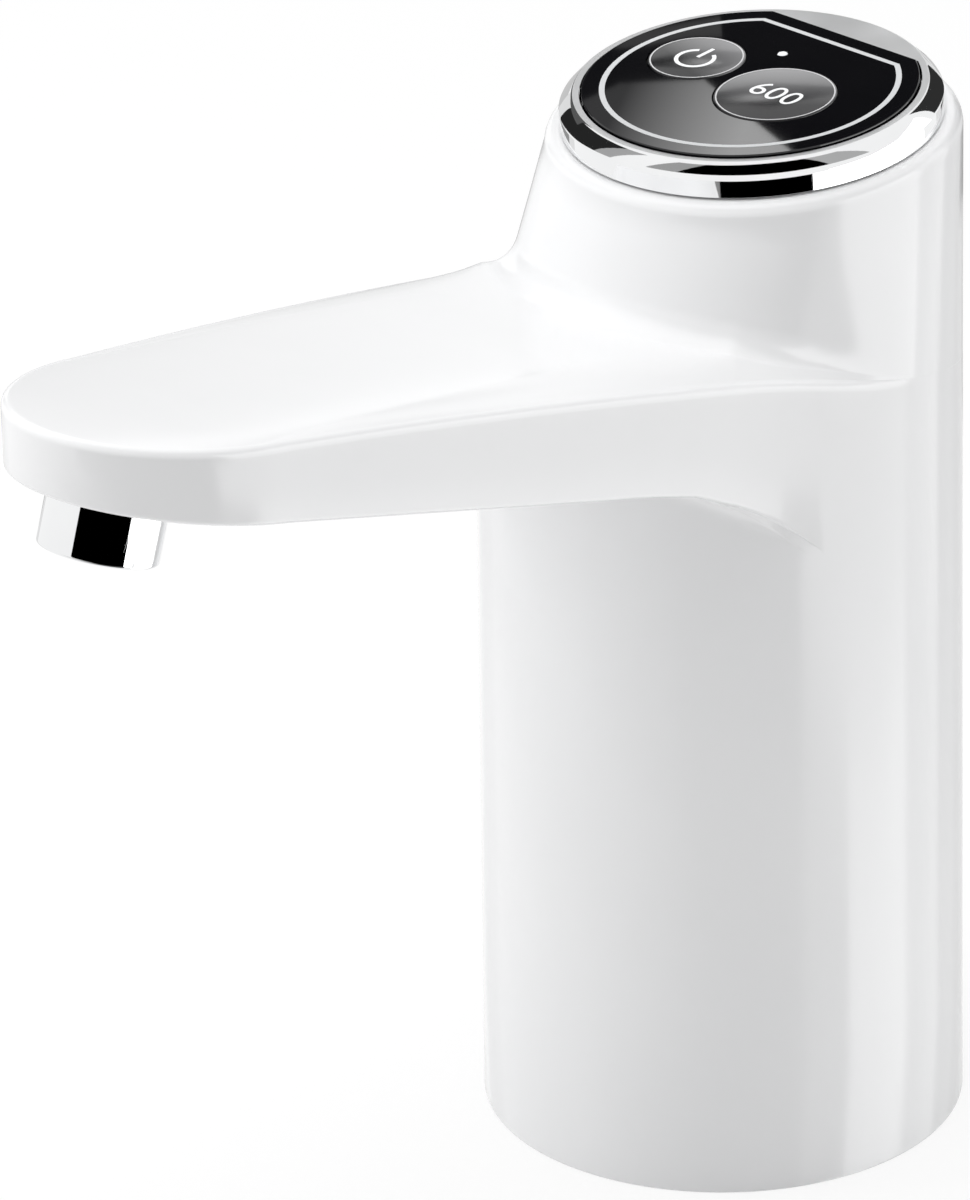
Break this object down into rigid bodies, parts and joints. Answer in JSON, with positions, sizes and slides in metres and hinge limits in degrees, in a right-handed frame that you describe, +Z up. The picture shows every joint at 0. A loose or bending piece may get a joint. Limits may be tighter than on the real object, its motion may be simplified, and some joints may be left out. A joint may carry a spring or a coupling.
{
  "type": "electric water jug pump",
  "caption": "Round white pump that stands on a water bottle's neck, with a rising spout, a chrome nozzle and bezel, and a slanted black panel of press keys.",
  "frame": {"origin": "middle of the bounding box, on the plane of the body's bottom rim", "axes": "+Z up the body, -Y along the spout to its nozzle, X across the object"},
  "size_m": [0.07, 0.1662, 0.1565],
  "materials": {
    "white_shell": "glossy white moulding",
    "inner_plastic": "natural white moulding",
    "dark_plastic": "black moulding",
    "panel_gloss": "polished black",
    "key_gloss": "polished dark grey",
    "chrome": "mirror plated",
    "steel": "zinc plated",
    "winding": "copper winding and bronze",
    "magnet": "dark sintered magnet",
    "circuit_board": "green board",
    "clear_silicone": "clear food-grade silicone",
    "white_silicone": "soft white silicone",
    "cell_sleeve": "blue shrink sleeve",
    "light": "clear light guide"
  },
  "bodies": {
    "body": {"housing": "white_shell", "spout_under_cover": "white_shell", "spout_cover_screw_1": "steel", "spout_cover_screw_2": "steel", "nozzle_sleeve": "chrome", "nozzle_adapter": "inner_plastic", "flow_straightener": "dark_plastic", "delivery_hose": "clear_silicone", "bezel": "chrome", "control_panel": "panel_gloss", "power_switch": "dark_plastic", "amount_switch": "dark_plastic", "light_pipe": "light", "button_carrier": "inner_plastic", "control_board": "circuit_board", "status_led": "light", "board_screw_1": "steel", "board_screw_2": "steel", "board_screw_3": "steel", "bottle_collar": "white_silicone", "neck_seal": "white_silicone", "chassis": "inner_plastic", "chassis_screw_1": "steel", "chassis_screw_2": "steel", "chassis_screw_3": "steel", "chassis_screw_4": "steel", "inlet_grommet": "white_silicone", "pump_head": "inner_plastic", "valve_plate": "inner_plastic", "diaphragm": "dark_plastic", "crankcase": "inner_plastic", "pump_screw_1": "steel", "pump_screw_2": "steel", "pump_screw_3": "steel", "motor_bush": "winding", "motor_can": "steel", "motor_magnet_1": "magnet", "motor_magnet_2": "magnet", "motor_end_cap": "dark_plastic", "lithium_cell": "cell_sleeve", "top_bracket": "inner_plastic", "bracket_screw_1": "steel", "bracket_screw_2": "steel", "charging_board": "circuit_board", "charging_socket": "steel"},
    "power_key": {"power_button": "key_gloss", "power_switch_plunger": "inner_plastic"},
    "amount_key": {"amount_button": "key_gloss", "amount_switch_plunger": "inner_plastic"},
    "motor_drive": {"motor_rotor": "winding", "motor_shaft": "steel", "eccentric_wheel": "inner_plastic", "crank_pin": "steel"},
    "wobble": {"wobble_plate": "dark_plastic"},
    "flap": {"port_flap": "white_silicone"}
  },
  "joints": [
    {"name": "power_press", "type": "slide", "parent": "body", "child": "power_key", "axis": [0, 0.0698, -0.9976], "range_m": [0, 0.0004], "stiffness_N_per_m": 1200, "springref_m": -0.0004},
    {"name": "amount_press", "type": "slide", "parent": "body", "child": "amount_key", "axis": [0, 0.0698, -0.9976], "range_m": [0, 0.0004], "stiffness_N_per_m": 1200, "springref_m": -0.0004},
    {"name": "motor_spin", "type": "hinge", "parent": "body", "child": "motor_drive", "pos_m": [0, 0.03889, 0.06], "axis": [0, 0, 1], "continuous": true},
    {"name": "wobble_turn", "type": "hinge", "parent": "motor_drive", "child": "wobble", "pos_m": [0, 0.03889, 0.0478], "axis": [0, -0.1045, 0.9945], "continuous": true},
    {"name": "flap_hinge", "type": "hinge", "parent": "body", "child": "flap", "pos_m": [-0.007, 0.08014, 0.1126], "axis": [0, 0, 1], "range_deg": [0, 110]}
  ],
  "couplings": [
    {"joint": "wobble_turn", "follows": "motor_spin", "ratio": -1}
  ]
}
